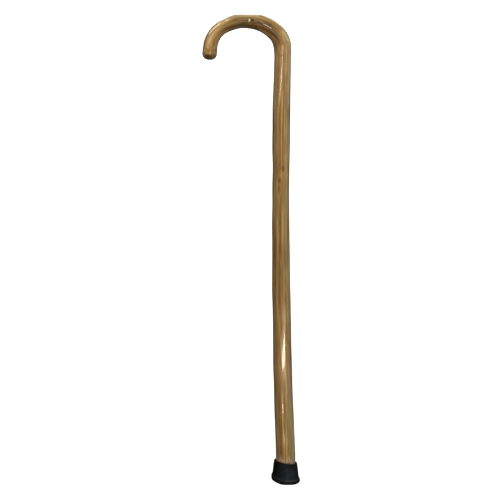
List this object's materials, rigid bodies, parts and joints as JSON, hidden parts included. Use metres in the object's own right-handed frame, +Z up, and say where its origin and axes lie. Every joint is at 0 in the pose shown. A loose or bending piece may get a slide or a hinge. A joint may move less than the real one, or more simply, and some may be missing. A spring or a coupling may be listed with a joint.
{
  "type": "walking stick",
  "caption": "Bent-wood walking stick with a round crook handle and a push-on rubber tip with a flange and treaded sole.",
  "frame": {"origin": "centre of the rubber tip's underside, on the floor", "axes": "+Z up along the shaft, the crook in the XZ plane and opening towards -X"},
  "size_m": [0.1608, 0.0476, 0.8129],
  "materials": {
    "lacquered_wood": "clear gloss lacquer over brown hardwood, lengthwise grain",
    "black_rubber": "matte moulded black rubber, lightly scuffed",
    "plated_steel": "zinc-plated stamped washer"
  },
  "bodies": {
    "tip": {"rubber_tip": "black_rubber", "tip_washer": "plated_steel"},
    "stick": {"cane_shaft": "lacquered_wood"}
  },
  "joints": [
    {"name": "stick_draw_out", "type": "slide", "parent": "tip", "child": "stick", "axis": [0, 0, 1], "range_m": [0, 0.028]}
  ]
}
